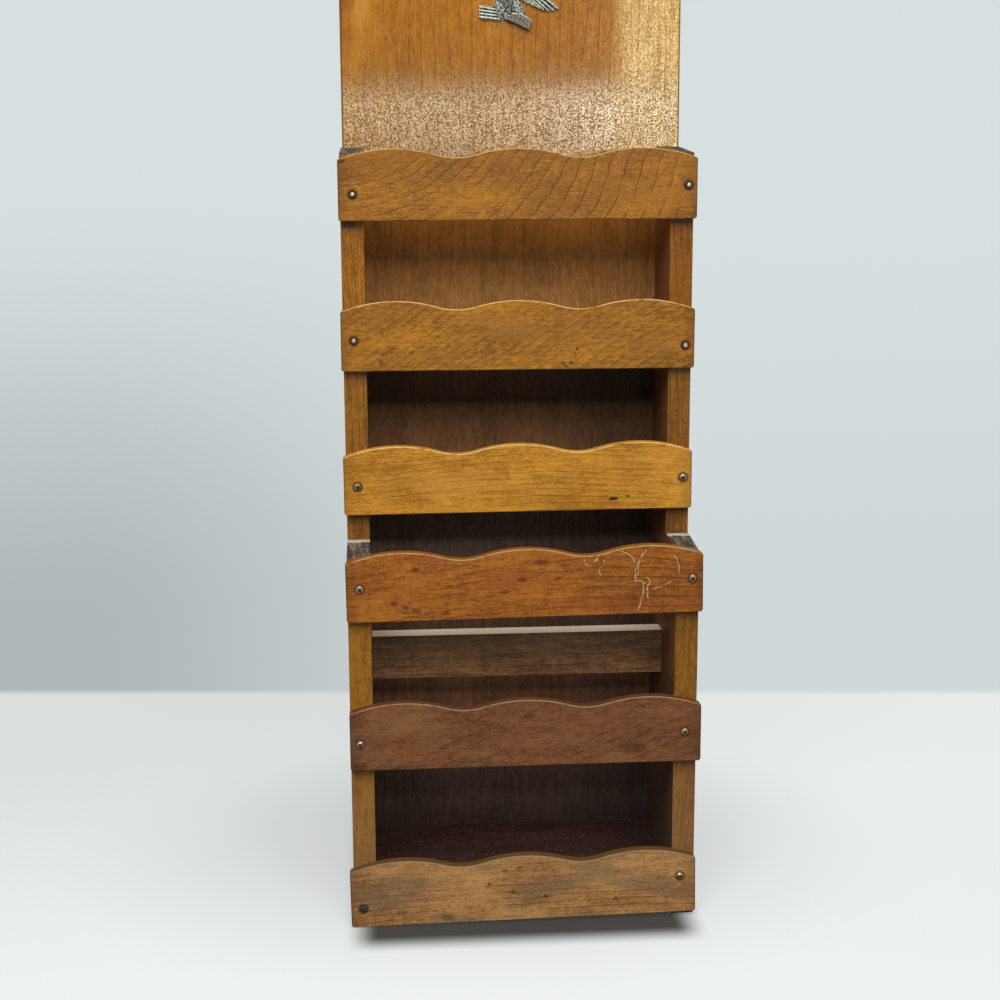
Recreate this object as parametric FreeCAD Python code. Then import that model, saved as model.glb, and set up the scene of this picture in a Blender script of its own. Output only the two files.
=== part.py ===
import FreeCAD, Part
import math
import os

os.makedirs("parts", exist_ok=True)

V = FreeCAD.Vector
ACROSS = V(1, 0, 0)
FORWARD = V(0, -1, 0)
BACKWARD = V(0, 1, 0)
UP = V(0, 0, 1)

# Wall letter holder of sawn boards, in millimetres.
# +X is to the right, +Z is up and the front faces -Y. The base is Z = 0.

# Side boards
outer_width = 195.0
side_thickness = 12.7
upper_depth = 52.3
lower_depth = 89.3
top_fall = 3.5
step_fall = 2.6

# Back board
back_thickness = 12.7
back_reveal = 0.3
back_shift = 0.6
back_height = 610.0
crown_rise = 32.0
back_edge_ease = 1.0

# Hanging hole, below the crown of the back board
hang_radius = 4.0
hang_drop = 20.0

# Front slats
slat_thickness = 6.0
slat_overhang = 1.0
slat_height = 38.7
valley_drop = 4.9
valley_radius = 38.0
crown_spacing_share = 0.347
slat_corner = 1.6
slat_edge_ease = 0.5

# Heights of the slats, each pitch from one slat's lower edge to the next
foot_lift = 2.0
bottom_pitch = 92.4
deep_pitch = 86.2
step_pitch = 51.9
middle_pitch = 80.8
top_pitch = 82.4
sides_above_slat = 0.6
step_above_slat = 1.2

# How each slat was nailed on, from the top slat down: degrees out of level with the
# right end up, and how far it sits to the right of the middle
slat_tilts = (0.05, -0.1, 0.25, 0.65, 0.15, 0.9)
slat_shifts = (0.05, -0.1, -0.3, 0.35, 0.75, -0.8)

# Two shelves and the bottom board, housed in the sides
shelf_thickness = 12.7
shelf_lift = 2.3
bottom_lift = 9.5
housing_depth = 3.0
housing_clearance = 0.1

# Divider rail
rail_height = 25.5
rail_thickness = 12.7
rail_setback = 46.8
rail_foot = 131.2

# Domed slat pins
pin_head_radius = 2.2
pin_head_height = 1.4
pin_shank_radius = 0.7
pin_length = 19.0
pin_point = 1.8
nail_clearance = 0.05

# Where each pin sits on its slat, left and right end, from the top slat down.
# Shares of the side's thickness in from its outer face, and of the slat's height.
pin_inset_shares = ((0.54, 0.30), (0.47, 0.33), (0.50, 0.34), (0.54, 0.36), (0.43, 0.59), (0.41, 0.69))
pin_height_shares = ((0.37, 0.47), (0.44, 0.33), (0.42, 0.46), (0.49, 0.50), (0.40, 0.45), (0.29, 0.57))

# Finishing brads through the sides
brad_radius = 0.6
brad_head_radius = 1.0
brad_head_length = 0.9
brad_length = 25.0
brad_point = 1.5
rail_brad_share = 0.5
shelf_brad_shares = (0.2, 0.75)

# Nails through the back board into the rear edges of the sides
back_nail_radius = 1.0
back_nail_head_radius = 2.2
back_nail_head_length = 1.0
back_nail_length = 32.0
back_nail_point = 2.5
back_nail_shares = (0.08, 0.36, 0.64, 0.92)

# Cast eagle on the back board. Places are shares of its width and height.
eagle_width = 66.0
eagle_height = 54.0
eagle_drop = 109.6
eagle_plate = 1.2
ridge_height = 2.0
ridge_step = 0.12
covert_lift = 0.9
perch_thickness = 3.0
perch_ease = 0.5
perch_outline_shares = ((0.45, 0.10), (0.51, 0.075), (0.68, 0.0), (0.715, 0.10), (0.60, 0.17), (0.45, 0.17))
claw_pin_shares = (0.494, 0.172)
breast_pin_shares = (0.45, 0.63)
feather_point_share = 0.5
feather_least_gap = 1.5
feather_overlap_share = 0.62
feather_taper_share = 0.86

# Each fan of feathers: the roots of its first and last feather, then the angle in degrees
# and the length as a share of the eagle's width, both of the first feather, of the last,
# and what the middle ones have more
raised_wing_root_shares = ((0.395, 0.47), (0.32, 0.73))
raised_wing_turn = (185.0, 134.0, 12.8)
raised_wing_length_shares = (0.24, 0.325, 0.068)
raised_wing_feathers = 8
raised_wing_coverts = 6
lowered_wing_root_shares = ((0.485, 0.391), (0.606, 0.502))
lowered_wing_turn = (-25.6, -29.6, -5.4)
lowered_wing_length_shares = (0.229, 0.441, 0.023)
lowered_wing_feathers = 7
lowered_wing_coverts = 5
tail_root_shares = ((0.41, 0.105), (0.41, 0.195))
tail_turn = (174.0, 171.0, 0.0)
tail_length_shares = (0.18, 0.18, 0.0)
tail_feathers = 4
covert_share = 0.55

# The rounded forms: both ends, the radius and how deep the axis lies behind the board's face
body_end_shares = ((0.49, 0.0), (0.42, 0.90))
body_radius = 8.3
body_sink = 3.8
right_thigh_end_shares = ((0.48, 0.40), (0.645, 0.03))
left_thigh_end_shares = ((0.42, 0.38), (0.41, 0.05))
thigh_radius = 4.6
thigh_sink = 1.5
lowered_arm_end_shares = ((0.42, 0.59), (0.72, 0.455))
raised_arm_end_shares = ((0.46, 0.60), (0.25, 0.84))
arm_radius = 3.4
arm_sink = 0.6
neck_end_shares = ((0.47, 0.56), (0.42, 0.98))
neck_radius = 5.4
neck_sink = 1.8
head_place_shares = (0.415, 0.87)
head_radius = 4.6
head_sink = 0.8
beak_length = 8.6
beak_radius = 2.0
beak_droop = 12.0

ornament_pin_radius = 0.5
ornament_head_radius = 1.4
ornament_head_height = 0.9
ornament_pin_length = 11.0
ornament_point = 1.2

# One overrun serves every cut that runs past a face
overrun = 5.0

# Worked out from the sizes above
inner_half = outer_width / 2 - side_thickness
slat_half = outer_width / 2 + slat_overhang
crown_spacing = 2 * slat_half * crown_spacing_share
wall_y = (lower_depth + slat_thickness + pin_head_height - back_thickness) / 2
slat_feet = [foot_lift]
for pitch in (bottom_pitch, deep_pitch, step_pitch, middle_pitch, top_pitch):
    slat_feet.insert(0, slat_feet[0] + pitch)
slat_depths = [upper_depth] * 3 + [lower_depth] * 3


def crown_radius():
    """Radius of a crown that runs smoothly into the valleys beside it."""
    half = crown_spacing / 2
    return (half**2 + valley_drop**2) / (2 * valley_drop) - valley_radius


def slat_end_height():
    radius = crown_radius()
    reach = slat_half - crown_spacing
    return slat_height - radius + math.sqrt(radius**2 - reach**2)


side_height = slat_feet[0] + slat_height + sides_above_slat
step_height = slat_feet[3] + slat_end_height() + step_above_slat


def depth_y(depth):
    """The Y of a place that is so far in front of the back board."""
    return wall_y - depth


def box(x0, x1, depth0, depth1, z0, z1):
    """A board between two X, two depths in front of the back board and two heights."""
    return Part.makeBox(x1 - x0, depth1 - depth0, z1 - z0, V(x0, depth_y(depth1), z0))


def straight(a, b):
    return Part.LineSegment(a, b).toShape()


def arc(a, middle, b):
    return Part.Arc(a, middle, b).toShape()


def slab(edges, direction, thickness):
    """A board cut to a closed outline."""
    face = Part.Face(Part.Wire(edges))
    return face.extrude(direction * thickness)


def turned(points, position, direction):
    """A turned piece: points are radius and distance along its axis, the first and last on the axis."""
    corners = [V(radius, 0, along) for radius, along in points]
    edges = [straight(a, b) for a, b in zip(corners, corners[1:] + corners[:1])]
    solid = Part.Face(Part.Wire(edges)).revolve(V(0, 0, 0), UP, 360)
    return placed(solid, position, direction)


def placed(solid, position, direction):
    solid.Placement = FreeCAD.Placement(position, FreeCAD.Rotation(UP, direction))
    return solid


def outline_edges(solid, y):
    """The edges of a slab that lie in one of its two faces."""
    return [e for e in solid.Edges if all(abs(v.Y - y) < slat_thickness / 100 for v in e.Vertexes)]


def flat_headed(position, direction, radius, head_radius, head_length, length, point, gap=0.0):
    """A nail with a flat head that ends flush at position; gap widens it into its own hole."""
    shank = radius + gap
    return turned(
        [
            (0, 0),
            (head_radius + gap, 0),
            (head_radius + gap, head_length),
            (shank, head_length),
            (shank, length - point),
            (0, length + gap),
        ],
        position,
        direction,
    )


def domed(position, direction, radius, head_radius, head_height, length, point, gap=0.0):
    """A pin with a domed head that stands out of the face at position."""
    shank = turned([(0, 0), (radius + gap, 0), (radius + gap, length - point), (0, length + gap)], position, direction)
    if gap:
        return shank
    ball = (head_radius**2 + head_height**2) / (2 * head_height)
    centre = position + direction * (ball - head_height)
    dome = Part.makeSphere(ball, centre)
    keep = placed(Part.makeCylinder(2 * ball, 2 * ball), position, direction * -1)
    return dome.common(keep).fuse(shank).removeSplitter()


def on_slat(number, x, height):
    """Where a place on a level slat goes when the slat is tilted about its middle."""
    turn = math.radians(slat_tilts[number])
    middle = slat_feet[number] + slat_end_height() / 2
    rise = slat_feet[number] + height - middle
    across = x * math.cos(turn) - rise * math.sin(turn)
    return across + slat_shifts[number], middle + x * math.sin(turn) + rise * math.cos(turn)


def slat_pin_places():
    """X, depth and Z of the face under the head of each slat pin."""
    places = []
    for number, depth in enumerate(slat_depths):
        for side in (0, 1):
            inset = outer_width / 2 - side_thickness * pin_inset_shares[number][side]
            height = slat_height * pin_height_shares[number][side]
            across, up = on_slat(number, (inset if side else -inset) - slat_shifts[number], height)
            places.append((number, side, V(across, depth_y(depth + slat_thickness), up)))
    return places


def slat_pin(place, gap=0.0):
    return domed(place, BACKWARD, pin_shank_radius, pin_head_radius, pin_head_height, pin_length, pin_point, gap)


def shelf_levels():
    """Lower face, depth and node name of each shelf and of the bottom board.

    The second and the third slat have a shelf. The top pocket is as deep as two slats,
    and the pocket below the step is one bin as deep as three.
    """
    levels = [(slat_feet[number] + shelf_lift, slat_depths[number], "shelf_%d" % number) for number in (1, 2)]
    levels.append((bottom_lift, lower_depth, "bottom_board"))
    return levels


def brad(side, depth, z, gap=0.0):
    """A brad through one side: side is -1 for the left and 1 for the right."""
    position = V(side * outer_width / 2, depth_y(depth), z)
    return flat_headed(
        position, ACROSS * -side, brad_radius, brad_head_radius, brad_head_length, brad_length, brad_point, gap
    )


def level_brads(side, levels, gap=0.0):
    """The brads into one end of each board in levels."""
    brads = []
    for foot, depth, name in levels:
        for share in shelf_brad_shares:
            brads.append(brad(side, depth * share, foot + shelf_thickness / 2, gap))
    return brads


def rail_brads(side, gap=0.0):
    depth = lower_depth - rail_setback - rail_thickness / 2
    return [brad(side, depth, rail_foot + rail_height * rail_brad_share, gap)]


def back_nails(side, gap=0.0):
    """Nails from the rear face of the back board into one side."""
    nails = []
    for share in back_nail_shares:
        x = side * (outer_width / 2 - side_thickness / 2)
        position = V(x, depth_y(-back_thickness), side_height * share)
        nails.append(
            flat_headed(
                position,
                FORWARD,
                back_nail_radius,
                back_nail_head_radius,
                back_nail_head_length,
                back_nail_length,
                back_nail_point,
                gap,
            )
        )
    return nails


def ornament_pin_places():
    """The pins stand on the eagle's plate, one over the claws and one in the breast."""
    places = [eagle_place(*claw_pin_shares), eagle_place(*breast_pin_shares)]
    return [V(x, depth_y(eagle_plate), z) for x, z in places]


def ornament_pin(place, gap=0.0):
    return domed(
        place,
        BACKWARD,
        ornament_pin_radius,
        ornament_head_radius,
        ornament_head_height,
        ornament_pin_length,
        ornament_point,
        gap,
    )


def back_board():
    half = outer_width / 2 - back_reveal
    left = back_shift - half
    right = back_shift + half
    shoulder = back_height - crown_rise
    y = depth_y(0)
    edges = [
        straight(V(left, y, 0), V(right, y, 0)),
        straight(V(right, y, 0), V(right, y, shoulder)),
        arc(V(right, y, shoulder), V(back_shift, y, back_height), V(left, y, shoulder)),
        straight(V(left, y, shoulder), V(left, y, 0)),
    ]
    board = slab(edges, BACKWARD, back_thickness)
    board = board.makeChamfer(back_edge_ease, outline_edges(board, y))
    hole = Part.makeCylinder(hang_radius, back_thickness, V(back_shift, y, back_height - hang_drop), BACKWARD)
    holes = [hole]
    for side in (-1, 1):
        holes += back_nails(side, nail_clearance)
    holes += [ornament_pin(place, nail_clearance) for place in ornament_pin_places()]
    return board.cut(holes)


def side_board(side):
    """One stepped side, with a housing for each shelf and a hole for each nail."""
    x = side * outer_width / 2
    corners = [
        (0, 0),
        (lower_depth, 0),
        (lower_depth, step_height),
        (upper_depth, step_height + step_fall),
        (upper_depth, side_height - top_fall),
        (0, side_height),
    ]
    points = [V(x, depth_y(depth), z) for depth, z in corners]
    edges = [straight(a, b) for a, b in zip(points, points[1:] + points[:1])]
    board = slab(edges, ACROSS * -side, side_thickness)
    cuts = []
    for foot, depth, name in shelf_levels():
        cuts.append(housing(side, depth, foot))
    cuts += [slat_pin(place, nail_clearance) for number, end, place in slat_pin_places() if end == (side > 0)]
    cuts += level_brads(side, shelf_levels(), nail_clearance)
    cuts += rail_brads(side, nail_clearance)
    cuts += back_nails(side, nail_clearance)
    return board.cut(cuts)


def housing(side, depth, foot):
    """The groove that holds one end of a shelf, open at the front and at the back."""
    inner = side * inner_half
    outer = side * (inner_half + housing_depth)
    low = foot - housing_clearance
    high = foot + shelf_thickness + housing_clearance
    return box(min(inner, outer), max(inner, outer), -overrun, depth + overrun, low, high)


def shelf(foot, depth):
    half = inner_half + housing_depth - housing_clearance
    board = box(-half, half, 0, depth, foot, foot + shelf_thickness)
    holes = [hole for side in (-1, 1) for hole in level_brads(side, shelf_levels(), nail_clearance)]
    return board.cut(holes)


def divider_rail():
    front = lower_depth - rail_setback
    rail = box(-inner_half, inner_half, front - rail_thickness, front, rail_foot, rail_foot + rail_height)
    return rail.cut(rail_brads(-1, nail_clearance) + rail_brads(1, nail_clearance))


def scallop_edges(y, foot):
    """The top edge of a slat from right to left: crowns and valleys as arcs that meet smoothly."""
    crown = crown_radius()
    reach = crown * (crown_spacing / 2) / (crown + valley_radius)
    shoulder = slat_height - crown + math.sqrt(crown**2 - reach**2)
    end = slat_end_height()

    def point(x, z):
        return V(x, y, foot + z)

    edges = []
    for centre in (crown_spacing, 0, -crown_spacing):
        right = (slat_half, end) if centre > 0 else (centre + reach, shoulder)
        left = (-slat_half, end) if centre < 0 else (centre - reach, shoulder)
        edges.append(arc(point(*right), point(centre, slat_height), point(*left)))
        if centre >= 0:
            bottom = point(centre - crown_spacing / 2, slat_height - valley_drop)
            edges.append(arc(point(*left), bottom, point(centre - crown_spacing + reach, shoulder)))
    return edges


def front_slat(number):
    """A scalloped slat with rounded ends and eased edges, set at its own slight tilt."""
    depth = slat_depths[number]
    foot = slat_feet[number]
    front = depth_y(depth + slat_thickness)
    end = foot + slat_end_height()
    edges = [
        straight(V(-slat_half, front, foot), V(slat_half, front, foot)),
        straight(V(slat_half, front, foot), V(slat_half, front, end)),
    ]
    edges += scallop_edges(front, foot)
    edges.append(straight(V(-slat_half, front, end), V(-slat_half, front, foot)))
    board = slab(edges, BACKWARD, slat_thickness)
    corners = [e for e in board.Edges if abs(e.BoundBox.YLength - slat_thickness) < slat_thickness / 100]
    corners = [e for e in corners if abs(abs(e.Vertexes[0].X) - slat_half) < slat_thickness / 100]
    board = board.makeFillet(slat_corner, corners)
    board = board.makeChamfer(slat_edge_ease, outline_edges(board, front))
    middle = foot + slat_end_height() / 2
    board.rotate(V(0, 0, middle), FORWARD, slat_tilts[number])
    board.translate(ACROSS * slat_shifts[number])
    pins = [slat_pin(place, nail_clearance) for which, end, place in slat_pin_places() if which == number]
    return board.cut(pins)


def eagle_place(across_share, up_share):
    """X and Z of a place on the eagle, as shares of its width and height."""
    foot = back_height - eagle_drop
    return (across_share - 0.5) * eagle_width, foot + up_share * eagle_height


def feather(root, tip, root_half, tip_half, height):
    """One feather with a raised ridge, from its root to its blunt point."""
    run = tip - root
    across = run.cross(FORWARD).normalize()
    sections = []
    for share, half, ridge_share in (
        (0, root_half, 1),
        (feather_taper_share, tip_half, 1),
        (1, tip_half * feather_point_share, feather_point_share),
    ):
        middle = root + run * share
        side = across * half
        low = FORWARD * eagle_plate
        ridge = middle + FORWARD * (eagle_plate + (height - eagle_plate) * ridge_share)
        corners = [middle - side, middle - side + low, ridge, middle + side + low, middle + side]
        sections.append(Part.makePolygon(corners + corners[:1]))
    return Part.makeLoft(sections, True, True)


def bowed(values, share):
    """A value that runs from a first to a last, and swells by a third one in the middle."""
    first, last, swell = values
    return first + (last - first) * share + swell * math.sin(math.pi * share)


def fan(root_shares, turn, length_shares, count, lift=0.0, reach_share=1.0):
    """A wing or a tail: feathers that lie side by side, each as wide as the gap to the next."""
    roots = []
    tips = []
    for index in range(count):
        share = index / (count - 1)
        x, z = [a + (b - a) * share for a, b in zip(*root_shares)]
        angle = math.radians(bowed(turn, share))
        across, up = eagle_place(x, z)
        roots.append(V(across, depth_y(0), up))
        reach = eagle_width * bowed(length_shares, share) * reach_share
        tips.append(roots[-1] + V(math.cos(angle), 0, math.sin(angle)) * reach)
    feathers = []
    for index in range(count):
        near = index - 1 if index else 1
        across = (tips[index] - roots[index]).cross(FORWARD).normalize()
        halves = []
        for ends in (roots, tips):
            gap = max(abs((ends[index] - ends[near]).dot(across)), feather_least_gap)
            halves.append(gap * feather_overlap_share)
        height = ridge_height + lift + ridge_step * index
        feathers.append(feather(roots[index], tips[index], halves[0], halves[1], height))
    return feathers


def spindle(end_shares, radius, sink):
    """A round form that tapers to both ends, its axis sunk behind the board's face."""
    ends = [eagle_place(*shares) for shares in end_shares]
    a, b = [V(x, depth_y(-sink), z) for x, z in ends]
    length = (b - a).Length
    swell = arc(V(0, 0, 0), V(radius, 0, length / 2), V(0, 0, length))
    solid = Part.Face(Part.Wire([swell, straight(V(0, 0, length), V(0, 0, 0))])).revolve(V(0, 0, 0), UP, 360)
    return placed(solid, a, (b - a).normalize())


def perch():
    """The block under the claws, with eased front edges."""
    corners = [V(x, depth_y(0), z) for x, z in (eagle_place(*shares) for shares in perch_outline_shares)]
    block = slab([straight(a, b) for a, b in zip(corners, corners[1:] + corners[:1])], FORWARD, perch_thickness)
    return block.makeChamfer(perch_ease, outline_edges(block, depth_y(perch_thickness)))


def eagle_ornament():
    """An eagle on a perch: one wing raised, one wing lowered, the tail swept to the left."""
    raised = (raised_wing_root_shares, raised_wing_turn, raised_wing_length_shares)
    lowered = (lowered_wing_root_shares, lowered_wing_turn, lowered_wing_length_shares)
    pieces = fan(*raised, raised_wing_feathers)
    pieces += fan(*raised, raised_wing_coverts, covert_lift, covert_share)
    pieces += fan(*lowered, lowered_wing_feathers)
    pieces += fan(*lowered, lowered_wing_coverts, covert_lift, covert_share)
    pieces += fan(tail_root_shares, tail_turn, tail_length_shares, tail_feathers)
    pieces.append(spindle(right_thigh_end_shares, thigh_radius, thigh_sink))
    pieces.append(spindle(left_thigh_end_shares, thigh_radius, thigh_sink))
    pieces.append(spindle(lowered_arm_end_shares, arm_radius, arm_sink))
    pieces.append(spindle(raised_arm_end_shares, arm_radius, arm_sink))
    pieces.append(spindle(neck_end_shares, neck_radius, neck_sink))
    head_x, head_z = eagle_place(*head_place_shares)
    head = V(head_x, depth_y(-head_sink), head_z)
    droop = math.radians(beak_droop)
    pieces.append(Part.makeSphere(head_radius, head))
    beak_root = V(head_x, depth_y(eagle_plate), head_z)
    pieces.append(Part.makeCone(beak_radius, 0, beak_length, beak_root, V(-math.cos(droop), 0, -math.sin(droop))))
    pieces.append(perch())
    whole = spindle(body_end_shares, body_radius, body_sink).multiFuse(pieces)
    wall = box(-eagle_width, eagle_width, -back_thickness, 0, back_height - eagle_drop - eagle_height, back_height)
    cuts = [wall]
    for place in ornament_pin_places():
        well = Part.makeCylinder(ornament_head_radius + nail_clearance, 2 * body_radius)
        cuts.append(placed(well, place, FORWARD))
        cuts.append(ornament_pin(place, nail_clearance))
    return whole.cut(cuts)


def save(name, solids):
    """Writes one node: a single solid, or a group of separate ones."""
    shape = solids[0] if len(solids) == 1 else Part.makeCompound(solids)
    shape.exportStep("parts/%s.step" % name)
    print(name, "solids", len(shape.Solids), "volume", round(shape.Volume, 1), "valid", shape.isValid())


save("back_board", [back_board()])
save("left_side", [side_board(-1)])
save("right_side", [side_board(1)])
for number in range(len(slat_feet)):
    save("front_slat_%d" % (number + 1), [front_slat(number)])
for foot, depth, name in shelf_levels():
    save(name, [shelf(foot, depth)])
save("divider_rail", [divider_rail()])
save("slat_pins", [slat_pin(place) for number, end, place in slat_pin_places()])
save("shelf_brads", level_brads(-1, shelf_levels()[:-1]) + level_brads(1, shelf_levels()[:-1]))
save("bottom_brads", level_brads(-1, shelf_levels()[-1:]) + level_brads(1, shelf_levels()[-1:]))
save("rail_brads", rail_brads(-1) + rail_brads(1))
save("back_nails", back_nails(-1) + back_nails(1))
save("eagle_ornament", [eagle_ornament()])
save("ornament_pins", [ornament_pin(place) for place in ornament_pin_places()])
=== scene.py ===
import math

import bpy
from mathutils import Matrix, Vector


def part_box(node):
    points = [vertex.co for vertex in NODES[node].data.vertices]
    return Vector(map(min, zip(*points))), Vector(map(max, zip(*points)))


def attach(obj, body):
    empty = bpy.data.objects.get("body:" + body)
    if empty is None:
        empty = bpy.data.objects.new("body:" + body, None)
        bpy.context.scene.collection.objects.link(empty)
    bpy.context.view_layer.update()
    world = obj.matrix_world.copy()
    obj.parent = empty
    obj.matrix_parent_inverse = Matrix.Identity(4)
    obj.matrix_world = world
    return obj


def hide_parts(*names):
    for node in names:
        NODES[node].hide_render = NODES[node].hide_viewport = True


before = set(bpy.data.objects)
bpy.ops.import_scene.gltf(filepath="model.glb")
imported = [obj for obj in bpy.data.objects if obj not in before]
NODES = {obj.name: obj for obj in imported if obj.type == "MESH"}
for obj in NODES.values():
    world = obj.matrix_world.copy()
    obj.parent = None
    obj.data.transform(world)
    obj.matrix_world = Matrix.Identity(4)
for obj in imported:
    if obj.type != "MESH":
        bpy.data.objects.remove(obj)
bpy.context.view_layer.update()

bl_info = {
    "name": "Letter Holder Looks",
    "version": (1, 0, 0),
    "blender": (4, 5, 0),
    "location": "3D View > Sidebar > Letter holder",
    "description": "Finishes for a letter holder of varnished boards, with its cast eagle and its stage",
    "category": "Object",
}

MM = 0.001

# The photograph's frame: its side in pixels, and the fitted focal length in the same pixels
PHOTO_SIDE = 1000.0
FOCAL_PIXELS = 1715.9
SENSOR_MM = 36.0

SLATS = ["front_slat_%d" % number for number in range(1, 7)]
SHELVES = ["shelf_1", "shelf_2", "bottom_board"]
SIDES = ["left_side", "right_side"]

# Pale and deep colour of each slat's varnished wood, from the top slat down
SLAT_COLOURS = (
    ((0.43, 0.178, 0.017), (0.19, 0.067, 0.006)),
    ((0.46, 0.192, 0.016), (0.20, 0.074, 0.006)),
    ((0.62, 0.280, 0.027), (0.34, 0.134, 0.010)),
    ((0.41, 0.143, 0.016), (0.19, 0.053, 0.007)),
    ((0.21, 0.080, 0.029), (0.095, 0.031, 0.012)),
    ((0.52, 0.265, 0.088), (0.22, 0.100, 0.036)),
)

# Clouds of a second colour on each slat, and how strong they are
SLAT_CLOUDS = (
    ((0.27, 0.095, 0.012), 0.50),
    ((0.29, 0.115, 0.020), 0.55),
    ((0.74, 0.380, 0.060), 0.30),
    ((0.26, 0.060, 0.018), 0.45),
    ((0.30, 0.160, 0.062), 0.26),
    ((0.160, 0.115, 0.062), 0.55),
)

# Colour of the dirt on each slat, then how pale its upper edge is beside its face
SLAT_STAINS = (
    (0.040, 0.016, 0.005),
    (0.085, 0.012, 0.006),
    (0.016, 0.006, 0.003),
    (0.085, 0.014, 0.007),
    (0.060, 0.016, 0.010),
    (0.050, 0.024, 0.012),
)
SLAT_TOP_TONES = (0.45, 0.45, 0.95, 0.70, 0.60, 0.26)

# Colour of each slat's front edges, where the varnish is rubbed thin, with a painted highlight along the
# upper one
SLAT_WORN_AND_HIGHLIGHT = (
    (0.52, 0.310, 0.110),
    (0.64, 0.400, 0.150),
    (0.70, 0.460, 0.200),
    (0.44, 0.265, 0.125),
    (0.29, 0.180, 0.095),
    (0.26, 0.165, 0.088),
)

# How strongly the boards that are rubbed dull mirror, and how deep their relief is in metres
SHEEN = 0.12
RELIEF_DEPTH = 0.12 * MM

# The wood's patterns: their scales along X, Y and Z under level grain and under upright
# grain, in turns for each metre, then their detail and their roughness
GRAIN_PATTERNS = {
    "fibre": ((70.0, 500.0, 1100.0), (1100.0, 500.0, 50.0), 3.0, 0.65),
    "mottle": ((400.0, 820.0, 980.0), (980.0, 820.0, 330.0), 2.0, 0.70),
    "blotch": ((16.0, 30.0, 38.0), (36.0, 30.0, 8.0), 3.0, 0.60),
    "fleck": ((300.0, 900.0, 1500.0), (1500.0, 900.0, 160.0), 1.0, 0.50),
    "wander": ((9.0, 20.0, 28.0), (26.0, 20.0, 6.0), 2.5, 0.50),
    "cloud": ((150.0, 150.0, 150.0), (150.0, 150.0, 150.0), 2.0, 0.60),
}

# The back board down inside the pockets, in bands of painted light and shade: darker where the
# slats above shade it, paler or amber where light falls in between them. Each band is fully
# there below the first height, not at all above the second (both in millimetres), with its
# colour and its share
POCKET_LIGHT_AND_SHADE_BANDS = (
    (391.0, 428.0, (0.270, 0.094, 0.026), 0.62),
    (346.0, 387.0, (0.540, 0.256, 0.084), 0.70),
    (309.0, 342.0, (0.170, 0.091, 0.051), 0.90),
    (264.0, 298.0, (0.250, 0.114, 0.046), 0.90),
    (228.0, 258.0, (0.200, 0.145, 0.110), 0.90),
    (176.0, 205.0, (0.150, 0.072, 0.040), 0.85),
    (119.0, 146.0, (0.310, 0.138, 0.070), 0.85),
    (74.0, 98.0, (0.088, 0.058, 0.047), 0.90),
    (16.0, 48.0, (0.046, 0.032, 0.027), 0.80),
)

# Where the back board's marks begin and end, in millimetres: how far from its middle the
# pockets reach, the painted shade at the right of the lower ones, the height over which the
# gloss fades out, the X at which its glossy right part with the painted glare begins, and the
# red left edge
POCKET_HALF = (85.0, 90.0)
RIGHT_SHADE_X = (-5.0, 90.0)
RIGHT_SHADE_Z = (315.0, 345.0)
GLOSS_TOP = (463.0, 484.0)
GLOSS_RIGHT = (54.0, 70.0)
RED_EDGE_X = (-98.0, -91.0)
RED_EDGE_Z = (455.0, 500.0)

# The yellow patch by that edge: X, Z, half width and half height, in millimetres
YELLOW_PATCH = (-86.0, 520.0, 6.0, 22.0)

# The back board's colours, among them the painted shade in the lower pockets and the painted glare on its
# right part, and that of its end grain
BACK_RIGHT_SHADE = (0.030, 0.022, 0.022)
BACK_RED_EDGE = (0.27, 0.060, 0.026)
BACK_YELLOW = (0.62, 0.31, 0.060)
BACK_PAINTED_GLARE = (0.56, 0.340, 0.060)
BACK_BAND = (0.26, 0.160, 0.020)
BACK_PITS = (0.11, 0.050, 0.010)
BACK_ENDS = (0.10, 0.040, 0.012)

# Slats: their end grain, and the pale line of a scratch
SLAT_ENDS = (0.060, 0.026, 0.009)
SCRATCH_PALE = (0.64, 0.38, 0.15)

# In millimetres: how far from its middle a slat darkens, and over which distances the dirt
# round a pin, the pale line of a scratch and the shade beside it fade out
SLAT_DARK_ENDS = (88.0, 99.0)
PIN_HALO = (2.4, 3.7)
SCRATCH_LINE = (0.20, 0.52)
SCRATCH_SHADE = (0.5, 1.3)

# Sides: their rubbed foot, the dirt under the first slat, the painted shade on their inner faces
# low down and high up, and the sawn end grain, dark, dusty and with a pale line
SIDE_FOOT = (0.29, 0.155, 0.070)
SIDE_DIRT = (0.050, 0.024, 0.014)
SIDE_INNER_SHADE = ((0.135, 0.083, 0.060), (0.30, 0.135, 0.056))
SAWN_DARK = (0.060, 0.042, 0.028)
SAWN_DUSTY = (0.22, 0.18, 0.13)
SAWN_PALE_LINE = (0.62, 0.55, 0.42)

# Where these lie, in millimetres: heights of the foot, of the rich upper end and of the change in
# the painted shade inside, the pale line behind the slats, then the dirt's X, half width and
# half height
SIDE_FOOT_Z = (20.0, 150.0)
SIDE_RICH_Z = (325.0, 350.0)
SIDE_INNER_SHADE_Z = (110.0, 170.0)
PALE_LINE_BEGIN = (-8.0, -6.0)
PALE_LINE_END = (-3.5, -1.5)
SIDE_DIRT_SPOT = (-93.0, 4.5, 5.0)

# Pale and deep colours of the boards inside, the dust on the shelves, the rail's dark mottle
# with its painted shade, and the rail's bare top
SHELF_PALE = (0.064, 0.030, 0.022)
SHELF_DEEP = (0.035, 0.017, 0.013)
SHELF_DUST = (0.34, 0.28, 0.24)
RAIL_PALE = (0.34, 0.165, 0.066)
RAIL_DEEP = (0.125, 0.058, 0.025)
RAIL_MOTTLE_AND_SHADE = (0.075, 0.048, 0.026)
RAIL_BARE = (0.95, 0.80, 0.57)

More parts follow.
